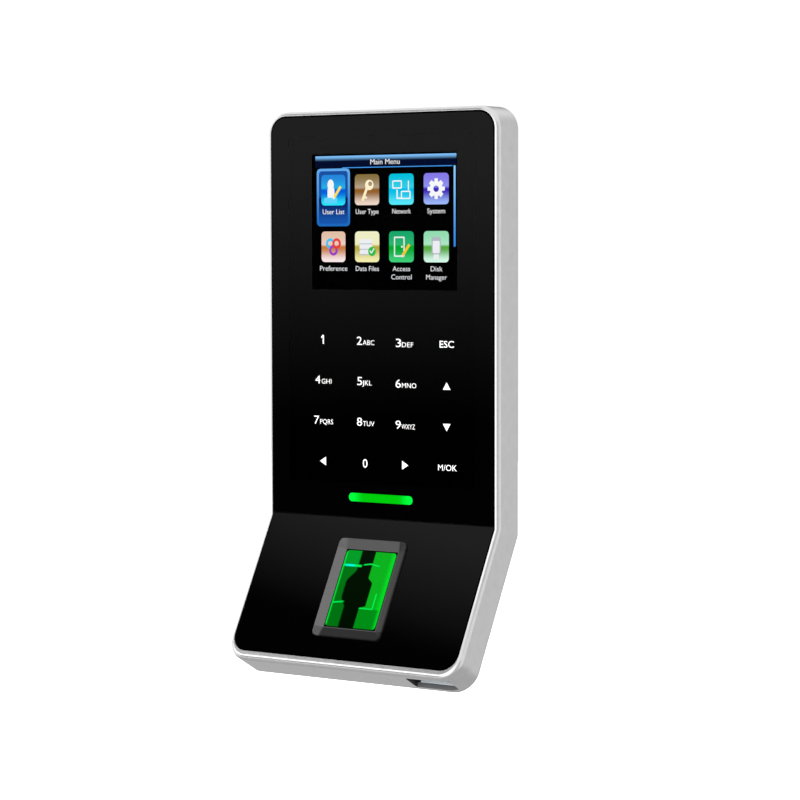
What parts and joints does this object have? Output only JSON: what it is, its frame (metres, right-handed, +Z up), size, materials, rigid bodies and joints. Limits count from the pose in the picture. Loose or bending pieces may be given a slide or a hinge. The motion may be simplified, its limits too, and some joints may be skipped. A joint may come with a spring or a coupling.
{
  "type": "fingerprint scanner terminal",
  "caption": "Slim wall-mounted fingerprint terminal: bent silver frame, black touch front with display and keypad, tilted optical sensor, hooked wall plate.",
  "frame": {"origin": "on the wall plane, in the middle of the wall plate's four screw holes", "axes": "+X to the right for someone facing the terminal, +Y into the wall, +Z up"},
  "size_m": [0.078, 0.0408, 0.1585],
  "materials": {
    "zinc_steel": "zinc plated sheet",
    "silver_paint": "fine satin silver paint",
    "black_plastic": "fine spark texture",
    "front_glass": "polished, printed black behind",
    "foam_tape": "matt foam tape",
    "gloss_panel": "polished piano black",
    "seal_rubber": "matt",
    "screw_steel": "bright zinc",
    "display_glass": "polished, lit from behind",
    "white_plastic": "smooth",
    "tin_plate": "tinned, bright",
    "amber_film": "smooth film",
    "circuit_board": "satin solder mask",
    "white_light": "clear resin",
    "green_light": "frosted, lit",
    "bezel_grey": "satin, fine texture",
    "sensor_glass": "polished, lit green from inside",
    "lens_glass": "coated",
    "chip_black": "matt moulding compound",
    "ivory_nylon": "smooth nylon",
    "relay_blue": "smooth",
    "can_aluminium": "bright can",
    "gold_plating": "bright",
    "spring_steel": "bright wire",
    "red_plastic": "smooth"
  },
  "bodies": {
    "wall": {"wall_plate": "zinc_steel"},
    "terminal": {"front_frame": "silver_paint", "inner_chassis": "black_plastic", "touch_glass": "front_glass", "glass_adhesive": "foam_tape", "lower_panel": "gloss_panel", "rear_housing": "black_plastic", "rear_seal": "seal_rubber", "case_screws": "screw_steel", "display_panel": "display_glass", "display_backlight": "white_plastic", "display_bracket": "tin_plate", "display_cable": "amber_film", "keypad_light_guide": "white_plastic", "keypad_board": "circuit_board", "keypad_lights": "white_light", "card_antenna": "circuit_board", "status_light_bar": "green_light", "status_light_board": "circuit_board", "status_lights": "white_light", "sensor_bezel": "bezel_grey", "sensor_prism": "sensor_glass", "sensor_housing": "black_plastic", "sensor_lens": "lens_glass", "sensor_camera": "chip_black", "sensor_lights": "green_light", "sensor_board": "circuit_board", "sensor_cable": "amber_film", "main_board": "circuit_board", "board_screws": "screw_steel", "processor": "chip_black", "memory_chips": "chip_black", "radio_shield": "tin_plate", "wiring_connectors": "ivory_nylon", "lock_relay": "relay_blue", "buzzer": "chip_black", "clock_battery": "tin_plate", "battery_holder": "chip_black", "capacitors": "can_aluminium", "port_board": "circuit_board", "port_shell": "tin_plate", "port_tongue": "white_plastic", "port_contacts": "gold_plating", "tamper_switch": "chip_black", "tamper_spring": "spring_steel", "reset_switch": "tin_plate", "lock_nuts": "gold_plating"},
    "tamper_plunger": {"tamper_plunger": "ivory_nylon"},
    "reset_button": {"reset_button": "red_plastic"},
    "lock_screw_left": {"lock_screw_left": "screw_steel"},
    "lock_screw_right": {"lock_screw_right": "screw_steel"}
  },
  "joints": [
    {"name": "terminal_swing", "type": "hinge", "parent": "wall", "child": "terminal", "pos_m": [0, -0.0042, 0.051], "axis": [-1, 0, 0], "range_deg": [0, 20]},
    {"name": "lock_left_withdraw", "type": "slide", "parent": "terminal", "child": "lock_screw_left", "axis": [0, 0, -1], "range_m": [0, 0.003]},
    {"name": "lock_right_withdraw", "type": "slide", "parent": "terminal", "child": "lock_screw_right", "axis": [0, 0, -1], "range_m": [0, 0.003]},
    {"name": "tamper_press", "type": "slide", "parent": "terminal", "child": "tamper_plunger", "axis": [0, -1, 0], "range_m": [0, 0.0012], "stiffness_N_per_m": 300, "springref_m": -0.001, "deforming": ["tamper_spring"]},
    {"name": "reset_press", "type": "slide", "parent": "terminal", "child": "reset_button", "axis": [0, -1, 0], "range_m": [0, 0.0004], "stiffness_N_per_m": 1000, "springref_m": -0.0003}
  ]
}
